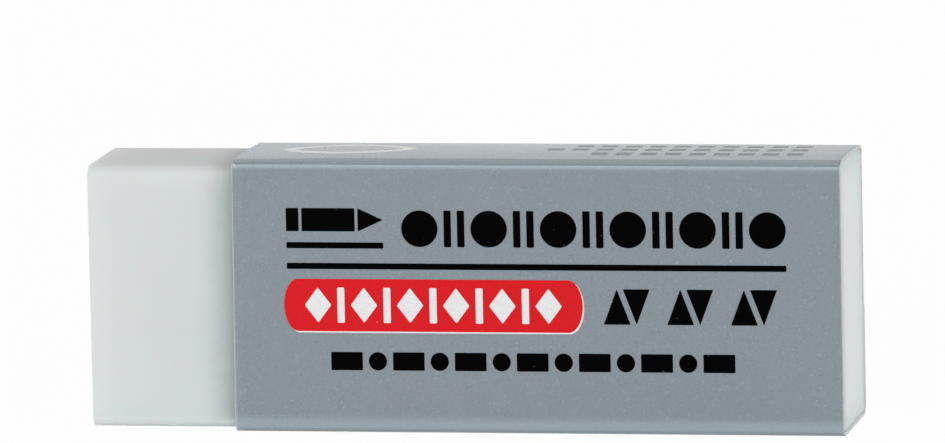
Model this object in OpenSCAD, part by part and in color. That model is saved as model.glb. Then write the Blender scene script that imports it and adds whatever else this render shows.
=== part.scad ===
// Soft white eraser block in a folded and printed card sleeve, standing on its narrow side.
// X runs along the block, the printed front faces -Y and Z is up.
// The origin is the middle of the whole part's footprint, on the surface that it stands on.

/* [Eraser block] */
// Length of the block
block_length = 62; // [56:1:75]
// Height of the block, the wide side of its section
block_height = 21.5; // [20:0.5:28]
// Depth of the block from front to back
block_depth = 11.5; // [10:0.5:16]
// Radius of the block's two long top edges
top_edge_r = 0.9; // [0.3:0.1:1.5]
// Radius of the block's two long bottom edges
base_edge_r = 0.8; // [0.3:0.1:1.5]
// Radius of the edges around each end of the block
end_edge_r = 0.2; // [0.1:0.1:0.8]

/* [Card sleeve] */
// Length of the sleeve, which is flush with the block at its right end
sleeve_length = 50; // [48:1:56]
// Thickness of the card
card = 0.3; // [0.2:0.05:0.5]
// Inside radius of the two top creases, which are folded sharp
crease_r = 0.3; // [0.1:0.05:0.4]
// Height that the springy top panel bows up above its creases
top_bow = 0.45; // [0.1:0.05:1]
// Height of the glued lap at the foot of the back panel
lap_height = 9; // [5:0.5:14]

/* [Fit] */
// Play between the block and the sleeve on each side
play = 0.05; // [0.03:0.01:0.15]

/* [Front print] */
// Thickness of one layer of ink
ink = 0.04; // [0.03:0.01:0.1]
// Distance from the sleeve's left end to the long rule
print_inset = 4.5; // [3:0.5:6]
// Length of the long rule
rule_length = 41; // [36:1:42]
// Height of the long rule above the sleeve's foot
rule_height = 13.8; // [13.2:0.1:14.2]
// Thickness of the long rule
rule_width = 0.5; // [0.3:0.1:0.8]
// Length of the red badge
badge_length = 24.6; // [22:0.2:26]
// Height of the red badge from its lower to its upper edge
badge_height = 4.3; // [3.4:0.1:4.6]
// Height of the badge's middle above the sleeve's foot
badge_centre = 10.6; // [10.2:0.1:10.8]
// Bulge of each end of the badge
badge_bulge = 1.2; // [0.8:0.1:2]
// Distance that the badge starts to the left of the long rule
badge_overhang = 0.3; // [0:0.1:1]
// Width of the white rim that shows below and to the right of the badge
badge_rim = 0.12; // [0.05:0.01:0.3]
// Height of the white ornament in the badge
lozenge_height = 2.9; // [2:0.1:3.2]
// Width of one lozenge in the badge
lozenge_width = 2.2; // [1.6:0.1:2.8]
// Height of the upper ornament's middle above the sleeve's foot
ornament_centre = 16.9; // [16.5:0.1:17.3]
// Diameter of one bead in the upper ornament
bead_d = 3; // [2.4:0.1:3.8]
// Width of the upright bars between the beads and between the lozenges
reel_width = 0.6; // [0.3:0.1:1]
// Gap between neighbouring shapes in an ornament
ornament_gap = 0.5; // [0.3:0.1:0.8]
// Length of the pencil figure at the left of the upper ornament
pencil_length = 8; // [7:0.5:9]
// Width of the pencil figure
pencil_width = 1.9; // [1.4:0.1:2.2]
// Height of the pencil's middle above the sleeve's foot
pencil_centre = 17.6; // [17:0.1:18]
// Height of the drawn line under the pencil, above the sleeve's foot
stroke_height = 15.5; // [15.2:0.1:15.8]
// Base of one triangle in the pairs to the right of the badge
triangle_base = 2.2; // [1.8:0.1:2.6]
// Height of one triangle in the pairs
triangle_height = 2.9; // [2:0.1:3.6]
// Distance from one pair of triangles to the next
pair_pitch = 5.2; // [4.8:0.1:5.4]
// Gap between the badge and the first pair
pair_gap = 1.7; // [1:0.1:3]
// Distance from the sleeve's left end to the chain line
chain_inset = 8; // [5:0.5:10]
// Length of the space that the chain line fills
chain_length = 35; // [30:1:38]
// Height of the chain line's middle above the sleeve's foot
chain_centre = 6; // [5:0.1:7]
// Thickness of the chain line, and diameter of its dots
chain_width = 1.5; // [1:0.1:2]
// Length of one dash of the chain line
dash_length = 2.6; // [1.8:0.1:3.6]

/* [Top print] */
// Distance from the sleeve's left end to the pale leaf outline
leaf_inset = 3; // [2:0.5:6]
// Length of the leaf outline
leaf_length = 11.4; // [8:0.2:14]
// Width of the leaf outline, from front to back
leaf_width = 6; // [4:0.2:7]
// Thickness of the leaf's drawn line
leaf_line = 0.9; // [0.5:0.1:1.2]
// Distance from the sleeve's right end to the rows of small grey dashes
rows_inset = 3.5; // [2:0.5:6]
// Distance from one row of grey dashes to the next
row_pitch = 2.6; // [2.2:0.1:2.8]
// Thickness of a grey dash, from front to back
row_width = 1.2; // [0.6:0.1:1.6]
// Length of a grey dash
row_dash = 1.3; // [0.8:0.1:2]
// Gap between neighbouring grey dashes
row_gap = 0.7; // [0.4:0.1:1]

/* [Hidden] */
$fn = 96;
BOW_FN = 720;
// Number of grey dashes in each row of the top print, the front row first
ROW_COUNTS = [9, 11, 10];
// Number of pairs of triangles to the right of the badge
PAIR_COUNT = 3;
// Shares of the pencil figure's length: the cap at its end and the sharpened tip
CAP_SHARE = 0.13;
TIP_SHARE = 0.26;

// Outside of the sleeve: depth and height between the outer faces, without the bow and the lap
wrap = card + play;
sleeve_depth = block_depth + 2 * wrap;
sleeve_height = block_height + 2 * wrap;
front_y = -sleeve_depth / 2;
// Inside radius of the bottom folds, which follow the block's edges with the same play
base_inside_r = base_edge_r + play;
base_outside_r = base_inside_r + card;
crease_outside_r = crease_r + card;
// Circle of the top panel's outer face, through the tops of the two creases
bow_half = sleeve_depth / 2 - crease_outside_r;
bow_r = (bow_half * bow_half + top_bow * top_bow) / (2 * top_bow);
bow_centre = sleeve_height + top_bow - bow_r;
// Ends of the sleeve along X, where the block reaches equally far to both sides of the origin
sleeve_right = block_length / 2;
sleeve_left = sleeve_right - sleeve_length;
// Shift that puts the lap's face and the badge's face at equal distances from the origin
middle_shift = (2 * ink - card) / 2;

// Rectangle centred on x that stands on y = 0, with one radius below and one above
module rounded(width, height, low_r, high_r) {
    middle = height / 2;
    translate([-width / 2, low_r]) square([width, height - low_r - high_r]);
    translate([low_r - width / 2, 0]) square([width - 2 * low_r, middle]);
    translate([high_r - width / 2, middle]) square([width - 2 * high_r, middle]);
    for (side = [-1, 1]) {
        translate([side * (width / 2 - low_r), low_r]) circle(low_r);
        translate([side * (width / 2 - high_r), height - high_r]) circle(high_r);
    }
}

// Section drawn as depth and height, drawn out along X between two places
module along_x(from, to) {
    translate([from, 0, 0])
        rotate([90, 0, 90])
            linear_extrude(to - from) children();
}

// Block: its section, crossed with its outlines from the front and from above
module eraser_block() {
    block_foot = card + play;
    color([0.87, 0.89, 0.89])
    translate([0, middle_shift, block_foot])
    intersection() {
        along_x(-block_length / 2, block_length / 2)
            rounded(block_depth, block_height, base_edge_r, top_edge_r);
        translate([0, block_depth, 0])
            rotate([90, 0, 0])
                linear_extrude(2 * block_depth)
                    rounded(block_length, block_height, end_edge_r, end_edge_r);
        translate([0, -block_depth / 2, -block_height / 2])
            linear_extrude(2 * block_height)
                rounded(block_length, block_depth, end_edge_r, end_edge_r);
    }
}

// Cap of the bowed top panel at a distance in from its outer face
module bow_cap(inset) {
    cap_foot = sleeve_height - inset;
    intersection() {
        translate([0, bow_centre]) circle(bow_r - inset, $fn = BOW_FN);
        translate([-bow_half, cap_foot - card / 2])
            square([2 * bow_half, top_bow + card]);
    }
}

// Lap: one more thickness of card, folded up over the foot of the back panel
module lap_section() {
    intersection() {
        translate([card / 2, 0])
            rounded(sleeve_depth + card, 2 * lap_height, base_outside_r, base_outside_r);
        square([sleeve_depth / 2 + card, lap_height]);
    }
}

// Sleeve: one strip of card folded around the block and glued at the back
module card_sleeve() {
    color([0.55, 0.59, 0.62])
    translate([0, middle_shift, 0])
    along_x(sleeve_left, sleeve_right)
        difference() {
            union() {
                rounded(sleeve_depth, sleeve_height, base_outside_r, crease_outside_r);
                bow_cap(0);
                lap_section();
            }
            union() {
                translate([0, card])
                    rounded(sleeve_depth - 2 * card, sleeve_height - 2 * card,
                            base_inside_r, crease_r);
                bow_cap(card);
            }
        }
}

// Ink on the front panel: an outline in x and height, on the given layer of ink
module on_front(layer) {
    translate([sleeve_left, front_y + middle_shift - layer * ink, 0])
        rotate([90, 0, 0])
            linear_extrude(ink) children();
}

// Ink on the bowed top panel: an outline in x and in depth from the front fold
module on_top() {
    intersection() {
        translate([sleeve_left, front_y + middle_shift, sleeve_height - card])
            linear_extrude(top_bow + 2 * card) children();
        translate([0, middle_shift, 0])
            along_x(sleeve_left, sleeve_right)
                difference() {
                    translate([0, bow_centre]) circle(bow_r + ink, $fn = BOW_FN);
                    translate([0, bow_centre]) circle(bow_r, $fn = BOW_FN);
                }
    }
}

// Row of equal upright bars or dashes, centred on y = 0
module bars(count, pitch, length, width) {
    for (i = [0 : count - 1])
        translate([i * pitch, -width / 2]) square([length, width]);
}

// Upright lozenge that starts at x = 0, centred on y = 0
module lozenge(width, height) {
    polygon([[0, 0], [width / 2, -height / 2], [width, 0], [width / 2, height / 2]]);
}

// Beads with two upright bars between each and the next, in the given length
module bead_and_reel(length) {
    unit = bead_d + 2 * reel_width + 3 * ornament_gap;
    units = floor((length - bead_d) / unit);
    translate([length - units * unit - bead_d, 0]) {
        for (i = [0 : units])
            translate([i * unit + bead_d / 2, 0]) circle(d = bead_d);
        for (i = [0 : units - 1])
            translate([i * unit + bead_d + ornament_gap, 0])
                bars(2, reel_width + ornament_gap, reel_width, bead_d);
    }
}

// Lozenges with one upright bar between each and the next, centred in the badge
module lozenge_and_bar() {
    unit = lozenge_width + reel_width + 2 * ornament_gap;
    units = floor((badge_length - 2 * badge_bulge - lozenge_width) / unit);
    translate([(badge_length - units * unit - lozenge_width) / 2, 0]) {
        for (i = [0 : units])
            translate([i * unit, 0]) lozenge(lozenge_width, lozenge_height);
        translate([lozenge_width + ornament_gap, 0])
            bars(units, unit, reel_width, lozenge_height);
    }
}

// Pencil figure: cap, barrel and sharpened tip, pointing right
module pencil() {
    cap = pencil_length * CAP_SHARE;
    tip = pencil_length * TIP_SHARE;
    barrel_end = pencil_length - tip;
    barrel_start = cap + ornament_gap / 2;
    half = pencil_width / 2;
    translate([0, -half]) square([cap, pencil_width]);
    translate([barrel_start, -half])
        square([barrel_end - ornament_gap / 2 - barrel_start, pencil_width]);
    polygon([[barrel_end, -half], [pencil_length, 0], [barrel_end, half]]);
}

// Pair of triangles, the first upright and the second turned over
module triangle_pair() {
    half = triangle_height / 2;
    second = triangle_base / 2 + ornament_gap;
    polygon([[0, -half], [triangle_base, -half], [triangle_base / 2, half]]);
    polygon([[second, half], [second + triangle_base, half],
             [second + triangle_base / 2, -half]]);
}

// Chain line: long dashes with a dot between each and the next
module chain_line() {
    unit = dash_length + chain_width + 2 * ornament_gap;
    units = floor((chain_length - dash_length) / unit);
    bars(units + 1, unit, dash_length, chain_width);
    for (i = [0 : units - 1])
        translate([i * unit + dash_length + ornament_gap + chain_width / 2, 0])
            circle(d = chain_width);
}

// Outline of the badge: a straight strip whose two ends are half ellipses, starting at x = 0
module badge_outline() {
    half = badge_height / 2;
    translate([badge_bulge, -half])
        square([badge_length - 2 * badge_bulge, badge_height]);
    for (middle = [badge_bulge, badge_length - badge_bulge])
        translate([middle, 0]) scale([badge_bulge / half, 1]) circle(half);
}

// Place of the badge's outline on the front panel
module at_badge() {
    translate([print_inset - badge_overhang, badge_centre]) children();
}

// Black ink: rule, pencil over its drawn line, ornament, triangle pairs and chain line
module black_print() {
    ornament_length = rule_length - pencil_length - 2 * ornament_gap;
    pairs_start = print_inset - badge_overhang + badge_length + pair_gap;
    color([0.06, 0.06, 0.07])
    on_front(0) {
        translate([print_inset, rule_height - rule_width / 2])
            square([rule_length, rule_width]);
        translate([print_inset, pencil_centre]) pencil();
        translate([print_inset, stroke_height - rule_width / 2])
            square([pencil_length, rule_width]);
        translate([print_inset + rule_length - ornament_length, ornament_centre])
            bead_and_reel(ornament_length);
        for (i = [0 : PAIR_COUNT - 1])
            translate([pairs_start + i * pair_pitch, badge_centre]) triangle_pair();
        translate([chain_inset, chain_centre]) chain_line();
    }
}

// White ink: the field under the badge, a little out of register to the lower right
module white_print() {
    color([0.93, 0.94, 0.94])
    on_front(0) {
        at_badge() badge_outline();
        at_badge() translate([badge_rim, -badge_rim]) badge_outline();
    }
}

// Red ink over the white, open where the white ornament shows
module red_print() {
    color([0.82, 0.13, 0.15])
    on_front(1)
        difference() {
            at_badge() badge_outline();
            at_badge() lozenge_and_bar();
        }
}

// Leaf shape between two equal arcs, drawn in by a distance from its outline
module leaf(inset) {
    half = leaf_length / 2;
    arc_r = (half * half + leaf_width * leaf_width / 4) / leaf_width;
    intersection() {
        translate([0, leaf_width / 2 - arc_r]) circle(arc_r - inset);
        translate([0, arc_r - leaf_width / 2]) circle(arc_r - inset);
    }
}

// Pale ink: a leaf drawn in outline on the top panel
module pale_print() {
    color([0.84, 0.86, 0.87])
    on_top()
        translate([leaf_inset + leaf_length / 2, sleeve_depth / 2])
            difference() {
                leaf(0);
                leaf(leaf_line);
            }
}

// Grey ink: rows of small dashes on the top panel, lined up at their right ends
module grey_print() {
    pitch = row_dash + row_gap;
    color([0.48, 0.51, 0.54])
    on_top()
        for (row = [0 : len(ROW_COUNTS) - 1]) {
            row_length = ROW_COUNTS[row] * pitch - row_gap;
            rows_off_middle = row - (len(ROW_COUNTS) - 1) / 2;
            translate([sleeve_length - rows_inset - row_length,
                       sleeve_depth / 2 + rows_off_middle * row_pitch])
                bars(ROW_COUNTS[row], pitch, row_dash, row_width);
        }
}

eraser_block();
card_sleeve();
black_print();
white_print();
red_print();
pale_print();
grey_print();
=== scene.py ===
"""Looks of a soft white eraser in a folded, printed card sleeve, built around its packed frame."""

import math
from types import SimpleNamespace

import bmesh
import bpy
from bpy.props import FloatProperty, FloatVectorProperty, PointerProperty
from mathutils import Matrix, Vector, noise


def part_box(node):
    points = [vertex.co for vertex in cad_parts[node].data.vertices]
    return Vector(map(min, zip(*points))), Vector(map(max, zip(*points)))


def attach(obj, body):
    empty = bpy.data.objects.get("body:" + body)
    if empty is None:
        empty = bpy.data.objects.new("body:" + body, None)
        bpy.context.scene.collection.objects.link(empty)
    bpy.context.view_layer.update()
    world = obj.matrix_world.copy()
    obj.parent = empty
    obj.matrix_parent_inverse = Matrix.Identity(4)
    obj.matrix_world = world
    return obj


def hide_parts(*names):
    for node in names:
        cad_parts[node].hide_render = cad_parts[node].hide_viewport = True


bl_info = {
    "name": "Sleeved eraser",
    "version": (1, 0, 0),
    "blender": (4, 5, 0),
    "location": "3D View > Sidebar > Eraser",
    "description": "Models a vinyl eraser block in its folded and printed card sleeve",
    "category": "Add Mesh",
}

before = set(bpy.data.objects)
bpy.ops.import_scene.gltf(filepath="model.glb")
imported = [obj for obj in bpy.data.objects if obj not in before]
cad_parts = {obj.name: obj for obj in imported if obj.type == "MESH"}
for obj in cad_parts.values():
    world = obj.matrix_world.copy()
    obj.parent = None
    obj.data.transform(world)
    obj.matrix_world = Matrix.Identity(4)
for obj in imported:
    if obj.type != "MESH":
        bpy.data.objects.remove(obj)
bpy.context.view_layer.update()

MM = 0.001  # metres in a millimetre, the unit that the pieces are modelled in
X, Y, Z = range(3)
AXES = (Vector((1, 0, 0)), Vector((0, 1, 0)), Vector((0, 0, 1)))
PHOTO_WIDTH = 945  # pixels across the photograph
SENSOR = 36.0  # width of the camera's sensor, mm

SHARP = math.radians(35)  # edges that bend more than this stay crisp
NEAR = 0.01  # distance within which a point counts as being in a plane, mm
BLOCK_GUARD = 1.08  # cuts start this many radii in from the block's edges, clear of its roundings
CARD_GUARD = 1.05  # the same for the card's folds
LONG_EDGE_STEPS = 10  # facets across the block's long edges
END_EDGE_STEPS = 4  # facets across the edges around its ends
FOLD_STEPS = 12  # facets across a fold of the card
CUT_EDGE_STEPS = 2  # facets across the card's cut edges
CORNER_STEPS = 3  # facets around a printed corner
BLOCK_SLICES = (62, 12, 22)  # parts that the block is cut into along X, Y and Z
PANEL_SLICES = (50, 28)  # parts that the sleeve and its top panel are cut into along X and Y
WALL_SLICES = 16  # parts that the sleeve's walls are cut into by height
RAMP_START = 1.4  # steepness of the top panel's rise at its front crease, against its mean
BEND_HALF = 0.12  # half the width of the bend where that rise ends, mm
WAVE_SPAN = 5  # distance across one wave of the top panel, mm
WAVE_SEED = 3  # slice of the noise that gives those waves
SLANT_RUN = 3  # distance from the left cut in which its lean dies away, mm
LAP_GAP = 0.01  # glue between the lap and the back panel, mm
CUT_ANGLE = math.radians(60)  # edges of the card that bend more than this bound its cuts
CUT_FACING = 0.35  # a face of the card that faces a cut's way by more than this belongs to the cut
LAP_REACH = 0.1  # how far the lap's cut faces may lie above or below the lap, mm
SAME_PLANE = math.radians(0.6)  # faces of ink that bend less than this are one face
WELD = 0.002  # points of a packed field of ink that are this near to each other become one, mm
HOLLOW_BIAS = 0.6  # keeps the block's hollows below its faces

FLOOR_RADIUS = 3.0  # m
SOFTBOX = (0.5, 0.4)  # width and height of each softbox, m
AIM = Vector((0, 0, 0.011))  # point that the softboxes face, m
# Each lamp's name, the value with its brightness, and its place in metres
LAMPS = (("left_softbox", "left_light", (-0.46, -0.65, 0.1)),
         ("right_softbox", "right_light", (0.72, -0.34, 0.1)),
         ("back_softbox", "back_light", (0.38, 0.7, 0.1)))


def tint(red, green, blue):
    """Linear colour of an sRGB colour that is given in steps of 255."""
    def linear(step):
        level = step / 255
        return level / 12.92 if level <= 0.04045 else ((level + 0.055) / 1.055) ** 2.4
    return linear(red), linear(green), linear(blue)


def length(name, description, default):
    """Property for a length, with its default in millimetres."""
    return FloatProperty(name=name, description=description, default=default * MM,
                         min=0, unit="LENGTH", precision=5)


def share(name, description, default, top=1.0):
    """Property for a plain number from 0 to a top value."""
    return FloatProperty(name=name, description=description, default=default,
                         min=0, max=top, precision=3)


def colour(name, description, red, green, blue):
    """Property for a colour, with its default in sRGB steps of 255."""
    return FloatVectorProperty(name=name, description=description, subtype="COLOR",
                               default=tint(red, green, blue), min=0, max=1)


class BlockLooks(bpy.types.PropertyGroup):
    """Sizes and colours of the vinyl block."""
    top_edge: length("Top edges", "Radius of the two long top edges", 0.9)
    base_edge: length("Bottom edges", "Radius of the two long bottom edges", 0.72)
    end_edge: length("End edges", "Radius of the edges around each end", 0.14)
    swell_run: length("Swell", "Distance from the right end over which the top swells", 8)
    clearance: length("Clearance", "Room between the swollen top and the card", 0.015)
    unevenness: length("Unevenness", "Depth of the gentle hollows in its faces", 0.012)
    hollow_span: length("Hollow span", "Distance across one gentle hollow", 7)
    vinyl: colour("Vinyl", "Colour of the vinyl", 230, 236, 236)
    # Painted light: the vinyl's colour is made lighter towards its foot
    foot: colour("Foot", "Colour of the brightened vinyl at its foot", 253, 255, 255)
    depth: length("Milky depth", "Distance that red light travels in the vinyl", 5)
    # Painted shade: a grey tint on the bare vinyl beside the card's edge, where the card shades the
    # vinyl
    edge_shade: length("Shaded edge", "Reach of the grey bloom beside the card's edge", 4)
    painted_shade: colour("Bloom", "Colour of that bloom", 150, 166, 160)
    painted_shade_strength: share("Bloom strength", "How much of that bloom shows", 0.47)
    roughness: share("Roughness", "Roughness of the vinyl's skin", 0.6)


class SleeveLooks(bpy.types.PropertyGroup):
    """Sizes and colours of the card sleeve."""
    card: length("Card", "Thickness of the card", 0.3)
    top_crease: length("Front crease", "Outside radius of the front's top crease", 0.35)
    back_crease: length("Back crease", "Outside radius of the back's top crease", 0.45)
    base_fold: length("Bottom folds", "Outside radius of the two bottom folds", 1.15)
    cad_bow: length("Packed bow", "Bow of the packed model's top panel", 0.45)
    left_bow: length("Left bow", "Rise of the springy top panel at its left end", 0.32)
    right_bow: length("Right bow", "Rise of the springy top panel elsewhere", 0.43)
    bow_change: length("Bow change", "Distance from the left end over which it changes", 10)
    waves: share("Waves", "Share of the bow that varies along the panel", 0.05)
    bow_run: length("Bow run", "Depth in which the panel rises behind its front crease", 0.85)
    shoulder: share("Shoulder", "Share of the rise that is made there", 0.78)
    dome_run: length("Dome run", "Depth in which the panel rises to its full height", 4)
    left_fall: share("Left fall", "How late the panel falls to its back at its left end", 1.5, 8)
    right_fall: share("Right fall", "How late the panel falls to its back elsewhere", 3, 8)
    lap_height: length("Lap", "Height of the glued lap at the foot of the back", 9)
    lap_foot: length("Lap foot", "Height at which the back panel starts inside the lap", 1.1)
    left_slant: length("Left slant", "How far the left cut leans from its middle", 0.1)
    cut_edge: length("Cut edges", "Rounding of the card's cut edges", 0.05)
    silver: colour("Silver", "Colour of the printed face", 142, 152, 159)
    flake: colour("Flakes", "Colour of the brightest metal flakes in the print", 205, 212, 216)
    board: colour("Board", "Colour of the unprinted inside", 226, 227, 224)
    # Painted highlight: lighter print along the front crease and on the bottom folds
    fold_highlight: colour("Creased", "Colour of the print where a fold brightens it", 212, 227, 236)
    gleam: colour("Gleam", "Tint of what the print mirrors at a low angle", 228, 242, 250)
    core: colour("Core", "Colour of the card's cut edges", 222, 225, 225)
    roughness: share("Roughness", "Roughness of the printed face", 0.33)
    sheen: share("Sheen", "Soft brightening of the silver print at a low angle", 0.22)


class InkLooks(bpy.types.PropertyGroup):
    """Sizes and colours of the printed ink."""
    film: length("Film", "Thickness of one layer of ink", 0.012)
    corner: length("Corners", "Rounding of the printed corners", 0.09)
    black: colour("Black", "Colour of the black ink", 0, 0, 1)
    red: colour("Red", "Colour of the red ink", 236, 34, 41)
    white: colour("White", "Colour of the white ink", 250, 250, 252)
    pale: colour("Pale", "Colour of the pale ink on the top panel", 244, 246, 246)
    grey: colour("Grey", "Colour of the grey ink on the top panel", 148, 157, 162)


class StudioLooks(bpy.types.PropertyGroup):
    """Camera and lamps."""
    camera_place: FloatVectorProperty(
        name="Camera", description="Place of the camera", subtype="TRANSLATION",
        unit="LENGTH", default=(0.162, -0.8954, 0.1508))
    yaw: FloatProperty(name="Yaw", description="Turn of the camera to its left",
                       subtype="ANGLE", default=math.radians(10.27))
    pitch: FloatProperty(name="Pitch", description="Tilt of the camera downwards",
                         subtype="ANGLE", default=math.radians(8.39))
    roll: FloatProperty(name="Roll", description="Roll of the camera",
                        subtype="ANGLE", default=math.radians(-1.20))
    focal_pixels: FloatProperty(
        name="Focal length", description="Focal length in the photograph's pixels",
        default=11290, min=1)
    ambient: share("Ambient", "Light of the surroundings on matt surfaces", 0.44, 3)
    left_light: share("Left light", "Brightness of the softbox at the left", 4.5, 20)
    right_light: share("Right light", "Brightness of the softbox at the right", 2.9, 20)
    back_light: share("Back light", "Brightness of the softbox behind", 2.7, 20)
    floor_glow: share("Floor glow", "Share of the floor's white that hides its shadow", 0.97)


class Wire:
    """A socket in a material, on which Python's operators add nodes."""

    def __init__(self, recipe, socket):
        self.recipe = recipe
        self.socket = socket

    def _math(self, operation, *values):
        return self.recipe.add("ShaderNodeMath", {"operation": operation},
                               dict(enumerate(values)))

    def __add__(self, other):
        return self._math("ADD", self, other)

    def __radd__(self, other):
        return self._math("ADD", other, self)

    def __sub__(self, other):
        return self._math("SUBTRACT", self, other)

    def __rsub__(self, other):
        return self._math("SUBTRACT", other, self)

    def __mul__(self, other):
        return self._math("MULTIPLY", self, other)

    def __rmul__(self, other):
        return self._math("MULTIPLY", other, self)

    def __abs__(self):
        return self._math("ABSOLUTE", self)

    def lesser(self, other):
        """The smaller of this value and another."""
        return self._math("MINIMUM", self, other)

    def greater(self, other):
        """The larger of this value and another."""
        return self._math("MAXIMUM", self, other)

    def rise(self, low, high):
        """0 below low and 1 above high, with a smooth rise between them."""
        return self.recipe.add("ShaderNodeMapRange", {"interpolation_type": "SMOOTHSTEP"},
                               {"Value": self, "From Min": low, "From Max": high})

    def fall(self, low, high):
        """1 below low and 0 above high, with a smooth fall between them."""
        return self.recipe.add("ShaderNodeMapRange", {"interpolation_type": "SMOOTHSTEP"},
                               {"Value": self, "From Min": low, "From Max": high,
                                "To Min": 1.0, "To Max": 0.0})


class Recipe:
    """Nodes of a material or of the surroundings, under construction."""

    def __init__(self, tree):
        self.tree = tree
        self.tree.nodes.clear()

    def add(self, kind, settings=(), values=(), output=0):
        """Adds a node, sets it, feeds its sockets and returns the wire from one output."""
        node = self.tree.nodes.new(kind)
        for name, setting in dict(settings).items():
            setattr(node, name, setting)
        for name, value in dict(values).items():
            if isinstance(value, Wire):
                self.tree.links.new(value.socket, node.inputs[name])
            else:
                node.inputs[name].default_value = value
        return Wire(self, node.outputs[output]) if node.outputs else None

    def place(self):
        """Place on the piece in millimetres: the vector and its three parts."""
        metres = self.add("ShaderNodeTexCoord", output="Object")
        vector = self.add("ShaderNodeVectorMath", {"operation": "SCALE"},
                          {0: metres, "Scale": 1 / MM})
        parts = [self.add("ShaderNodeSeparateXYZ", (), {0: vector}, output=i) for i in range(3)]
        return vector, *parts

    def grain(self, vector, size, detail=2.0, roughness=0.5, seed=0.0):
        """Noise from 0 to 1 whose features are about one size across, in millimetres."""
        return self.add("ShaderNodeTexNoise", {"noise_dimensions": "4D"},
                        {"Vector": vector, "W": seed, "Scale": 1 / size,
                         "Detail": detail, "Roughness": roughness})

    def flakes(self, vector, size):
        """A random value from 0 to 1 for each flake of about one size, in millimetres."""
        cell = self.add("ShaderNodeTexVoronoi", {"feature": "F1"},
                        {"Vector": vector, "Scale": 1 / size}, output="Color")
        return self.add("ShaderNodeSeparateXYZ", (), {0: cell})

    def mix(self, factor, first, second):
        """Colour between two colours."""
        return self.add("ShaderNodeMix", {"data_type": "RGBA"},
                        {0: factor, 6: opaque(first), 7: opaque(second)}, output=2)

    def bump(self, height, depth, under=None):
        """Normal of a relief whose height of 1 stands a depth proud, in millimetres."""
        values = {"Height": height, "Strength": 1.0, "Distance": depth * MM}
        if under is not None:
            values["Normal"] = under
        return self.add("ShaderNodeBump", (), values)


class Finish(Recipe):
    """A material under construction."""

    def __init__(self, name):
        self.material = bpy.data.materials.new(name)
        self.material.use_nodes = True
        super().__init__(self.material.node_tree)

    def surface(self, values):
        """Ends the material in a Principled surface whose sockets have the given values."""
        shader = self.add("ShaderNodeBsdfPrincipled", (), values)
        self.add("ShaderNodeOutputMaterial", (), {"Surface": shader})
        return self.material


def opaque(value):
    """A colour of three parts with its alpha, or a wire as it is."""
    return value if isinstance(value, Wire) else (*value, 1.0)


def shade(paint, level):
    """A colour made darker or lighter by one factor."""
    return [min(part * level, 1) for part in paint]


def in_mm(group):
    """A property group's values, its lengths in millimetres."""
    values = {}
    for key, prop in group.bl_rna.properties.items():
        if key not in ("rna_type", "name"):
            value = getattr(group, key)
            values[key] = value / MM if getattr(prop, "unit", "NONE") == "LENGTH" else value
    return SimpleNamespace(**values)


def looks_in_mm(scene):
    """The block's, the sleeve's and the ink's values, lengths in millimetres."""
    return in_mm(scene.eraser_block), in_mm(scene.eraser_sleeve), in_mm(scene.eraser_ink)


def node_box(node):
    """Lowest and highest corner of a packed node, in millimetres."""
    low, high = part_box(node)
    return low / MM, high / MM


def sleeve_faces(sleeve):
    """Places of the sleeve's outer faces: ends, front, back and the creases' height."""
    low, high = node_box("card_sleeve")
    return SimpleNamespace(left=low.x, right=high.x, front=low.y, lap=high.y,
                           back=high.y - sleeve.card, foot=low.z,
                           crease=high.z - sleeve.cad_bow,
                           depth=high.y - sleeve.card - low.y)


def cut_across(bm, axis, places):
    """Cuts the whole mesh square to an axis at each place."""
    for place in places:
        bmesh.ops.bisect_plane(bm, geom=bm.verts[:] + bm.edges[:] + bm.faces[:],
                               dist=1e-4, plane_co=AXES[axis] * place,
                               plane_no=AXES[axis])


def steps(start, end, count):
    """Places that split the stretch from start to end into a count of equal parts."""
    return [start + (end - start) * i / count for i in range(1, count)]


def cut_stretch(bm, axis, start, end, count):
    """Cuts the mesh at the start and the end of a stretch, and into equal parts between."""
    cut_across(bm, axis, [*steps(start, end, count), start, end])


def round_edges(bm, edges, radius, segments):
    """Rounds edges to a radius."""
    bmesh.ops.bevel(bm, geom=edges, offset=radius, offset_type="OFFSET",
                    segments=segments, profile=0.5, affect="EDGES",
                    clamp_overlap=True, material=-1)


def ease(value):
    """0 below 0 and 1 above 1, with a smooth rise between them."""
    value = min(max(value, 0), 1)
    return value * value * (3 - 2 * value)


def along(edge, axis):
    """Whether an edge runs along an axis."""
    run = edge.verts[1].co - edge.verts[0].co
    return abs(run[axis]) > 0.999 * run.length


def finish_piece(name, bm, finishes, body, slot, *nodes):
    """Makes the modelled mesh an object that stands for its nodes and rides on a body."""
    bmesh.ops.scale(bm, vec=(MM, MM, MM), verts=bm.verts)
    mesh = bpy.data.meshes.new(name)
    bm.to_mesh(mesh)
    bm.free()
    for finish in finishes:
        mesh.materials.append(finish)
    mesh.shade_smooth()
    mesh.set_sharp_from_angle(angle=SHARP)
    piece = bpy.data.objects.new(name, mesh)
    bpy.context.scene.collection.objects.link(piece)
    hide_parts(*nodes)
    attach(piece, body)
    return piece


def panel_bow(x, y, sleeve, faces):
    """Height of the springy top panel above its creases; it is fuller away from its left end."""
    behind = min(max(y - faces.front, 0), faces.depth)
    ramp = min(behind / sleeve.bow_run, 1)
    ramp *= RAMP_START - (RAMP_START - 1) * ramp
    dome = ease(behind / sleeve.dome_run)
    rise = sleeve.shoulder * ramp + (1 - sleeve.shoulder) * dome
    share_back = behind / faces.depth
    left = sleeve.left_bow * (1 - share_back ** sleeve.left_fall)
    right = sleeve.right_bow * (1 - share_back ** sleeve.right_fall)
    wave = 1 + sleeve.waves * noise.noise((x / WAVE_SPAN, 0, WAVE_SEED))
    return rise * wave * (left + (right - left) * ease((x - faces.left) / sleeve.bow_change))


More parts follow.
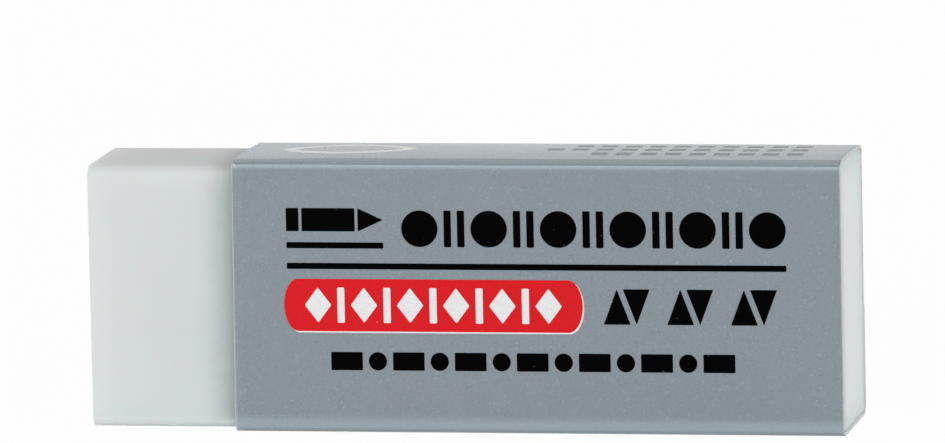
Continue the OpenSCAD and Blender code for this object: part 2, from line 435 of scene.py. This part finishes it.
def vinyl(block, card_edge):
    """Milky vinyl: light travels in it, with painted shade beside the card's edge, a painted shadow
    line on its top and painted light towards its foot.
    """
    finish = Finish("milky_vinyl")
    vector, x, y, z = finish.place()
    cloud = finish.grain(vector, 6, detail=3)
    skin = finish.grain(vector, 0.12, detail=3, roughness=0.6)
    scuff = finish.grain(vector, 1.4, detail=5, roughness=0.7, seed=3).rise(0.62, 0.8)
    paint = finish.mix(cloud.rise(0.3, 0.7), shade(block.vinyl, 0.985), block.vinyl)
    paint = finish.mix(scuff * 0.1, paint, shade(block.vinyl, 0.9))
    # Painted shade beside the card's edge, broken up by noise: it fades over the bare end and
    # reaches a little under the card
    shade_noise = finish.grain(vector, 1.1, detail=4, roughness=0.6, seed=7)
    bare = card_edge - x
    edge_shade = (bare + shade_noise - 0.5).fall(0, block.edge_shade)
    shade_under_card = (bare + 1.6 * shade_noise - 0.8).rise(-1.5, 0.2)
    paint = finish.mix(edge_shade * edge_shade * shade_under_card * block.painted_shade_strength, paint, block.painted_shade)
    # Painted light: lighter towards the foot, standing in for light from the floor
    paint = finish.mix(z.fall(0.45, 1.4), paint, block.foot)
    # Painted shadow: a fine dark line on the top beside the card's edge, where the gap under the
    # card lies in shade
    painted_gap_shadow = bare.fall(0.03, 0.16) * bare.rise(-0.1, 0) * z.rise(21, 21.4) * y.rise(-4, -1)
    paint = finish.mix(painted_gap_shadow * 0.6, paint, shade(block.painted_shade, 0.4))
    relief = finish.bump(skin, 0.004, finish.bump(cloud, 0.02))
    return finish.surface({
        "Base Color": paint, "Roughness": block.roughness + 0.08 * skin, "IOR": 1.45,
        "Subsurface Weight": 1.0, "Subsurface Radius": (1.0, 0.62, 0.6),
        "Subsurface Scale": block.depth * MM, "Normal": relief})


def painted_fold_light(x, y, z, rub, faces):
    """Painted highlights on the folds, from 0 to 1: a line along the front crease broken up by
    wear, a band on the bottom folds and a faint band just above the crease.
    """
    # The first mask paints a highlight along the front crease, pressed paints one on the bottom
    # folds and shoulder a faint one just above the crease
    below = faces.crease - 0.1 - z
    crease_highlight = below.rise(-0.03, 0.03) * below.fall(0.0, 0.6) * below.fall(0.0, 0.6)
    pressed = z.rise(0.1, 0.55) * z.fall(0.55, 1.7)
    above = z - faces.crease
    shoulder = above.rise(0, 0.1) * above.fall(0.25, 0.4) * 0.14
    outside = (y - faces.front).fall(0.3, 2)
    return (crease_highlight * (0.32 + 0.38 * rub)).greater(pressed * 0.36).greater(shoulder) * outside


def printed_card(sleeve, faces):
    """Silver-grey print with fine metal flakes, rubbed through at its cut edges, with painted
    highlights on its folds and a painted shadow line at its right cut.
    """
    finish = Finish("silver_print")
    vector, x, y, z = finish.place()
    silver = sleeve.silver
    fibre = finish.grain(vector, 0.15)
    cloud = finish.grain(vector, 5, detail=3, seed=1)
    flake = finish.flakes(vector, 0.12)
    paint = finish.mix(fibre.rise(0.3, 0.7), shade(silver, 0.95), shade(silver, 1.05))
    paint = finish.mix(cloud.rise(0.35, 0.65) * 0.25, paint, shade(silver, 1.06))
    paint = finish.mix(flake.rise(0.97, 0.99) * 0.3, paint, sleeve.flake)
    rub = finish.grain(vector, 0.35, detail=4, roughness=0.65, seed=2)
    # Painted highlights on the folds
    paint = finish.mix(painted_fold_light(x, y, z, rub, faces), paint, sleeve.fold_highlight)
    # The two cuts are worn to the core, and chipped where they meet the front crease
    to_end = (x - faces.left).lesser(faces.right - x)
    worn = (to_end - 0.1 * rub.rise(0.35, 0.75)).fall(0.06, 0.14) * (
        rub.rise(0.56, 0.7) * 0.5).greater(0.2)
    paint = finish.mix(worn, paint, sleeve.core)
    # Painted shadow: a dark line on the top panel along its right cut, where the gap to the block
    # lies in shade
    painted_edge_shadow = (faces.right - x).fall(0.08, 0.2) * (z - faces.crease).rise(0, 0.1)
    paint = finish.mix(painted_edge_shadow * 0.7, paint, shade(silver, 0.3))
    chip = to_end.fall(0.2, 0.75) * rub.rise(0.62, 0.66)
    chipped = abs(z - (faces.crease - 0.1)).fall(0.1, 0.35) * chip
    paint = finish.mix(chipped, paint, sleeve.core)
    relief = finish.bump(fibre, 0.006, finish.bump(cloud, 0.03))
    return finish.surface({
        "Base Color": paint, "Normal": relief,
        "Sheen Weight": sleeve.sheen, "Sheen Roughness": 0.4,
        "Sheen Tint": opaque(sleeve.gleam), "Specular Tint": opaque(sleeve.gleam),
        "Roughness": sleeve.roughness - 0.12 * flake.rise(0.7, 1.0)})


def plain_card(sleeve):
    """Unprinted inside of the card: white board with its fibres."""
    finish = Finish("white_board")
    vector, *_ = finish.place()
    fibre = finish.grain(vector, 0.25, detail=5, roughness=0.65)
    paint = finish.mix(fibre.rise(0.3, 0.7), shade(sleeve.board, 0.93), sleeve.board)
    return finish.surface({"Base Color": paint, "Roughness": 0.75 + 0.1 * fibre,
                           "Normal": finish.bump(fibre, 0.01)})


def cut_card(sleeve):
    """Cut edge of the card: pale core with its pressed fibre layers."""
    finish = Finish("cut_board")
    vector, *_ = finish.place()
    fibre = finish.grain(vector, 0.07, detail=4, roughness=0.7)
    paint = finish.mix(fibre.rise(0.3, 0.75), shade(sleeve.core, 0.86), sleeve.core)
    return finish.surface({"Base Color": paint, "Roughness": 0.85 + 0.05 * fibre,
                           "Normal": finish.bump(fibre, 0.012)})


def printed_ink(name, ink_colour, ground, roughness, holes, gloss=0.3):
    """Ink on card: a share of tiny pinholes shows the ground, and the fibres show in relief."""
    finish = Finish(name)
    vector, *_ = finish.place()
    fibre = finish.grain(vector, 0.11)
    pin = finish.grain(vector, 0.16, detail=1, seed=5).rise(1 - holes, 1.04 - holes)
    paint = finish.mix(fibre.rise(0.3, 0.7), shade(ink_colour, 0.93), shade(ink_colour, 1.06))
    paint = finish.mix(pin * 0.7, paint, ground)
    return finish.surface({"Base Color": paint, "Roughness": roughness + 0.1 * fibre,
                           "Specular IOR Level": gloss, "Normal": finish.bump(fibre, 0.005)})


def block_mesh(block, sleeve):
    """The block: its edges rounded, its faces faintly hollowed and its right end swollen."""
    low, high = node_box("eraser_block")
    bm = bmesh.new()
    bmesh.ops.create_cube(bm, size=1)
    bmesh.ops.scale(bm, vec=high - low, verts=bm.verts)
    bmesh.ops.translate(bm, vec=(low + high) / 2, verts=bm.verts)
    round_and_slice_block(bm, block, low, high)
    shape_block(bm, block, sleeve, low, high)
    return bm


def round_and_slice_block(bm, block, low, high):
    """Rounds the block's edges and cuts its faces fine enough to take a gentle shape."""
    for height, radius in ((high.z, block.top_edge), (low.z, block.base_edge)):
        edges = [e for e in bm.edges
                 if along(e, X) and abs(e.verts[0].co.z - height) < NEAR]
        round_edges(bm, edges, radius, LONG_EDGE_STEPS)
    cut_across(bm, X, steps(low.x, high.x, BLOCK_SLICES[X]))
    for end in (low.x, high.x):
        edges = [e for e in bm.edges if all(abs(v.co.x - end) < NEAR for v in e.verts)]
        round_edges(bm, edges, block.end_edge, END_EDGE_STEPS)
    end_edge, top_edge, base_edge = (
        radius * BLOCK_GUARD for radius in (block.end_edge, block.top_edge, block.base_edge))
    cut_stretch(bm, X, low.x + end_edge, high.x - end_edge, 1)
    cut_stretch(bm, Y, low.y + top_edge, high.y - top_edge, BLOCK_SLICES[Y])
    cut_stretch(bm, Z, low.z + base_edge, high.z - top_edge, BLOCK_SLICES[Z])


def shape_block(bm, block, sleeve, low, high):
    """Hollows the block's faces a little and swells its right end against the bowed panel."""
    faces = sleeve_faces(sleeve)
    middle = (low.z + high.z) / 2
    spare = faces.crease - sleeve.card - block.clearance - high.z
    bm.normal_update()
    for v in bm.verts:
        hollow = min(noise.noise(v.co / block.hollow_span) - HOLLOW_BIAS, 0)
        near_end = ease(1 - (high.x - v.co.x) / block.swell_run)
        near_top = min(max((v.co.z - middle) / (high.z - middle), 0), 1)
        lift = spare + panel_bow(faces.right, v.co.y, sleeve, faces)
        move = v.normal * (block.unevenness * hollow)
        move.z += near_end * near_top ** 3 * lift
        v.co += move


def sleeve_mesh(sleeve, faces):
    """The sleeve: a strip folded round the block, its top panel bowed, then given its thickness."""
    bm = folded_strip(sleeve, faces)
    slice_strip(bm, sleeve, faces)
    bend_strip(bm, sleeve, faces)
    thicken_strip(bm, sleeve, faces)
    return bm


def folded_strip(sleeve, faces):
    """Outer face of the card, from its hidden edge on the back round to the lap."""
    corners = [(faces.back - LAP_GAP, faces.foot + sleeve.lap_foot),
               (faces.back - LAP_GAP, faces.crease), (faces.front, faces.crease),
               (faces.front, faces.foot), (faces.lap, faces.foot),
               (faces.lap, faces.foot + sleeve.lap_height)]
    bm = bmesh.new()
    verts = [bm.verts.new((faces.left, y, z)) for y, z in corners]
    edges = [bm.edges.new(pair) for pair in zip(verts, verts[1:])]
    made = bmesh.ops.extrude_edge_only(bm, edges=edges)["geom"]
    bmesh.ops.translate(bm, vec=((faces.right - faces.left), 0, 0),
                        verts=[g for g in made if isinstance(g, bmesh.types.BMVert)])
    bmesh.ops.recalc_face_normals(bm, faces=bm.faces)
    radii = (sleeve.back_crease, sleeve.top_crease, sleeve.base_fold, sleeve.base_fold)
    for (y, z), radius in zip(corners[1:5], radii):
        fold = [e for e in bm.edges if along(e, X) and abs(e.verts[0].co.y - y) < NEAR
                and abs(e.verts[0].co.z - z) < NEAR]
        round_edges(bm, fold, radius, FOLD_STEPS)
    return bm


def cut_panel(bm, sleeve, faces):
    """Cuts whatever lies on the top panel so that it can follow the panel's bow."""
    start = faces.front + sleeve.top_crease * CARD_GUARD
    end = faces.back - sleeve.back_crease * CARD_GUARD
    bend = faces.front + sleeve.bow_run
    cut_across(bm, X, steps(faces.left, faces.right, PANEL_SLICES[X]))
    cut_stretch(bm, Y, start, end, PANEL_SLICES[Y])
    cut_across(bm, Y, (bend - BEND_HALF, bend + BEND_HALF))


def wall_top(sleeve, faces):
    """Height at which the sleeve's walls end, just under its top creases."""
    return faces.crease - sleeve.back_crease * CARD_GUARD


def slice_strip(bm, sleeve, faces):
    """Cuts the strip's panels into small faces, clear of its folds."""
    fold = sleeve.base_fold * CARD_GUARD
    cut_panel(bm, sleeve, faces)
    cut_across(bm, Y, (faces.front + fold, faces.lap - fold))
    cut_stretch(bm, Z, faces.foot + fold, wall_top(sleeve, faces), WALL_SLICES)


def bend_strip(bm, sleeve, faces):
    """Bows the strip's top panel and leans its left cut."""
    middle = (faces.foot + faces.crease) / 2
    for v in bm.verts:
        if v.co.z > wall_top(sleeve, faces):
            v.co.z += panel_bow(v.co.x, v.co.y, sleeve, faces)
    for v in bm.verts:
        near_left = 1 - ease((v.co.x - faces.left) / SLANT_RUN)
        v.co.x -= near_left * sleeve.left_slant * (middle - v.co.z) / (middle - faces.foot)


def thicken_strip(bm, sleeve, faces):
    """Gives the strip its thickness, inwards."""
    bmesh.ops.recalc_face_normals(bm, faces=bm.faces)
    panel = [f for f in bm.faces if f.calc_center_median().z > faces.crease]
    if sum(f.normal.z * f.calc_area() for f in panel) < 0:
        bmesh.ops.reverse_faces(bm, faces=bm.faces)
    bmesh.ops.solidify(bm, geom=bm.faces[:], thickness=sleeve.card)
    bmesh.ops.recalc_face_normals(bm, faces=bm.faces)


def sort_card_faces(bm, sleeve, faces):
    """Rounds the cut edges and gives each face its finish: printed 0, unprinted 1 or cut 2."""
    bm.normal_update()
    cuts = [e for e in bm.edges if len(e.link_faces) == 2
            and e.calc_face_angle(0) > CUT_ANGLE]
    round_edges(bm, cuts, sleeve.cut_edge, CUT_EDGE_STEPS)
    bm.normal_update()
    centre = Vector((0, (faces.front + faces.back) / 2, faces.crease / 2))
    for face in bm.faces:
        middle = face.calc_center_median()
        away = middle - centre
        away.x = 0
        at_lap = middle.y > faces.back - sleeve.card - sleeve.cut_edge and (
            sleeve.lap_foot - LAP_REACH < middle.z < sleeve.lap_height + LAP_REACH)
        if max(abs(face.normal.x), at_lap * abs(face.normal.z)) > CUT_FACING:
            face.material_index = 2
        else:
            face.material_index = 0 if face.normal.dot(away) > 0 else 1


def ink_mesh(node):
    """A packed field of ink as clean outlines, in millimetres."""
    bm = bmesh.new()
    bm.from_mesh(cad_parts[node].data)
    bmesh.ops.scale(bm, vec=(1 / MM,) * 3, verts=bm.verts)
    bmesh.ops.remove_doubles(bm, verts=bm.verts, dist=WELD)
    bmesh.ops.dissolve_limit(bm, angle_limit=SAME_PLANE, verts=bm.verts,
                             edges=bm.edges, delimit={"NORMAL"})
    bm.normal_update()
    return bm


def lay_on_front(bm, front, layer, ink):
    """Rounds a field's corners and makes it one layer of ink on the front panel."""
    corners = [e for e in bm.edges if along(e, Y) and e.calc_face_angle(0) > SHARP]
    round_edges(bm, corners, ink.corner, CORNER_STEPS)
    low = min(v.co.y for v in bm.verts)
    high = max(v.co.y for v in bm.verts)
    for v in bm.verts:
        is_face = v.co.y < (low + high) / 2
        v.co.y = front - ink.film * (layer + is_face)


def lay_on_top(bm, sleeve, faces, ink):
    """Lays a field of ink on the bowed top panel as a thin film that follows it."""
    marks = bm.verts.layers.float.new("is_face")
    bm.normal_update()
    for v in bm.verts:
        v[marks] = any(f.normal.z > 0.5 for f in v.link_faces)
    cut_panel(bm, sleeve, faces)
    for v in bm.verts:
        panel = faces.crease + panel_bow(v.co.x, v.co.y, sleeve, faces)
        v.co.z = panel + (ink.film if v[marks] > 0.5 else -ink.film)


class ERASER_OT_block(bpy.types.Operator):
    """Models the soft vinyl block"""
    bl_idname = "eraser.block"
    bl_label = "Vinyl block"
    bl_options = {"REGISTER", "UNDO"}

    def execute(self, context):
        block, sleeve, _ = looks_in_mm(context.scene)
        finish_piece("vinyl_block", block_mesh(block, sleeve),
                     [vinyl(block, sleeve_faces(sleeve).left)],
                     "block", "vinyl", "eraser_block")
        return {"FINISHED"}


class ERASER_OT_sleeve(bpy.types.Operator):
    """Models the folded card sleeve"""
    bl_idname = "eraser.sleeve"
    bl_label = "Card sleeve"
    bl_options = {"REGISTER", "UNDO"}

    def execute(self, context):
        _, sleeve, _ = looks_in_mm(context.scene)
        faces = sleeve_faces(sleeve)
        bm = sleeve_mesh(sleeve, faces)
        sort_card_faces(bm, sleeve, faces)
        finish_piece("folded_sleeve", bm,
                     [printed_card(sleeve, faces), plain_card(sleeve), cut_card(sleeve)],
                     "sleeve", "card", "card_sleeve")
        return {"FINISHED"}


class ERASER_OT_front_print(bpy.types.Operator):
    """Prints the front panel: black, white and red"""
    bl_idname = "eraser.front_print"
    bl_label = "Front print"
    bl_options = {"REGISTER", "UNDO"}

    def execute(self, context):
        _, sleeve, ink = looks_in_mm(context.scene)
        front = sleeve_faces(sleeve).front
        silver = sleeve.silver
        fields = (
            ("black_print", "black_ink", 0, ink.black, silver,
             {"roughness": 0.4, "holes": 0.22, "gloss": 0.02}),
            ("white_print", "white_ink", 0, ink.white, silver,
             {"roughness": 0.5, "holes": 0.2}),
            ("red_print", "red_ink", 1, ink.red, ink.white,
             {"roughness": 0.42, "holes": 0.22, "gloss": 0.06}))
        for node, slot, layer, paint, ground, texture in fields:
            bm = ink_mesh(node)
            lay_on_front(bm, front, layer, ink)
            finish = printed_ink(slot, paint, ground, **texture)
            finish_piece(node + "_film", bm, [finish], "sleeve", slot, node)
        return {"FINISHED"}


class ERASER_OT_top_print(bpy.types.Operator):
    """Prints the bowed top panel: pale and grey"""
    bl_idname = "eraser.top_print"
    bl_label = "Top print"
    bl_options = {"REGISTER", "UNDO"}

    def execute(self, context):
        _, sleeve, ink = looks_in_mm(context.scene)
        faces = sleeve_faces(sleeve)
        fields = (
            ("pale_print", "pale_ink", ink.pale, {"roughness": 0.25, "holes": 0.2, "gloss": 0.6}),
            ("grey_print", "grey_ink", ink.grey, {"roughness": 0.5, "holes": 0.25}))
        for node, slot, paint, texture in fields:
            bm = ink_mesh(node)
            lay_on_top(bm, sleeve, faces, ink)
            finish = printed_ink(slot, paint, sleeve.silver, **texture)
            finish_piece(node + "_film", bm, [finish], "sleeve", slot, node)
        return {"FINISHED"}


class ERASER_OT_stage(bpy.types.Operator):
    """Sets up the floor, the white surroundings, the lamps and the camera"""
    bl_idname = "eraser.stage"
    bl_label = "Stage"
    bl_options = {"REGISTER", "UNDO"}

    def execute(self, context):
        studio = context.scene.eraser_studio
        add_floor(studio)
        add_surroundings(context.scene, studio)
        for name, key, place in LAMPS:
            add_softbox(context.scene, name, getattr(studio, key), place)
        add_camera(context.scene, studio)
        context.scene.view_settings.view_transform = "Standard"
        return {"FINISHED"}


def sees_background(recipe):
    """1 for the rays that show the white background: camera, mirrored and refracted rays."""
    rays = [recipe.add("ShaderNodeLightPath", output=output)
            for output in ("Is Camera Ray", "Is Glossy Ray", "Is Transmission Ray")]
    return rays[0].greater(rays[1]).greater(rays[2])


def add_floor(studio):
    """White matt floor whose glow leaves only a faint shadow in the background."""
    bm = bmesh.new()
    bmesh.ops.create_circle(bm, cap_ends=True, radius=FLOOR_RADIUS, segments=64)
    mesh = bpy.data.meshes.new("floor")
    bm.to_mesh(mesh)
    bm.free()
    floor = bpy.data.objects.new("floor", mesh)
    bpy.context.scene.collection.objects.link(floor)
    finish = Finish("white_floor")
    white = opaque((1, 1, 1))
    matt = finish.add("ShaderNodeBsdfDiffuse", (), {"Color": white})
    glow = finish.add("ShaderNodeEmission", (), {"Color": white, "Strength": 1.0})
    look = finish.add("ShaderNodeMixShader", (), {
        0: sees_background(finish) * studio.floor_glow, 1: matt, 2: glow})
    finish.add("ShaderNodeOutputMaterial", (), {"Surface": look})
    mesh.materials.append(finish.material)


def add_surroundings(scene, studio):
    """White in the background and in reflections, with a plain level of light on the rest."""
    world = bpy.data.worlds.new("white_surroundings")
    world.use_nodes = True
    recipe = Recipe(world.node_tree)
    level = studio.ambient + sees_background(recipe) * (1 - studio.ambient)
    light = recipe.add("ShaderNodeBackground", (), {"Color": opaque((1, 1, 1)),
                                                    "Strength": level})
    recipe.add("ShaderNodeOutputWorld", (), {"Surface": light})
    scene.world = world


def add_softbox(scene, name, brightness, place):
    """Area lamp that faces the eraser, with a given brightness of its face."""
    lamp = bpy.data.lights.new(name, "AREA")
    lamp.shape = "RECTANGLE"
    lamp.size, lamp.size_y = SOFTBOX
    lamp.energy = brightness * math.pi * SOFTBOX[0] * SOFTBOX[1]
    holder = bpy.data.objects.new(name, lamp)
    holder.location = place
    holder.rotation_euler = (AIM - Vector(place)).to_track_quat("-Z", "Y").to_euler()
    scene.collection.objects.link(holder)


def add_camera(scene, studio):
    """Camera at the photograph's place and angle."""
    data = bpy.data.cameras.new("camera")
    data.sensor_width = SENSOR
    data.lens = studio.focal_pixels / PHOTO_WIDTH * SENSOR
    data.clip_end = 10
    camera = bpy.data.objects.new("camera", data)
    turn = (Matrix.Rotation(studio.yaw, 4, "Z")
            @ Matrix.Rotation(math.pi / 2 - studio.pitch, 4, "X")
            @ Matrix.Rotation(studio.roll, 4, "Z"))
    camera.matrix_world = Matrix.Translation(studio.camera_place) @ turn
    scene.collection.objects.link(camera)
    scene.camera = camera


class ERASER_PT_parts(bpy.types.Panel):
    """Lists the operators and the values they use"""
    bl_label = "Sleeved eraser"
    bl_idname = "ERASER_PT_parts"
    bl_space_type = "VIEW_3D"
    bl_region_type = "UI"
    bl_category = "Eraser"

    def draw(self, context):
        for operator in OPERATORS:
            self.layout.operator(operator.bl_idname)
        for name, _ in GROUPS:
            group = getattr(context.scene, name)
            box = self.layout.box()
            box.label(text=group.__doc__ or name)
            for key in group.bl_rna.properties.keys():
                if key not in ("rna_type", "name"):
                    box.prop(group, key)


GROUPS = (("eraser_block", BlockLooks), ("eraser_sleeve", SleeveLooks),
          ("eraser_ink", InkLooks), ("eraser_studio", StudioLooks))
OPERATORS = (ERASER_OT_stage, ERASER_OT_block, ERASER_OT_sleeve, ERASER_OT_front_print,
             ERASER_OT_top_print)


def register():
    """Registers the values, the operators and the panel."""
    for name, group in GROUPS:
        bpy.utils.register_class(group)
        setattr(bpy.types.Scene, name, PointerProperty(type=group))
    for operator in OPERATORS:
        bpy.utils.register_class(operator)
    bpy.utils.register_class(ERASER_PT_parts)


def unregister():
    """Takes the panel, the operators and the values away again."""
    bpy.utils.unregister_class(ERASER_PT_parts)
    for operator in reversed(OPERATORS):
        bpy.utils.unregister_class(operator)
    for name, group in reversed(GROUPS):
        delattr(bpy.types.Scene, name)
        bpy.utils.unregister_class(group)


def main():
    """Registers everything, then runs every operator in order."""
    register()
    bpy.ops.eraser.stage()
    bpy.ops.eraser.block()
    bpy.ops.eraser.sleeve()
    bpy.ops.eraser.front_print()
    bpy.ops.eraser.top_print()


if __name__ == "__main__":
    main()
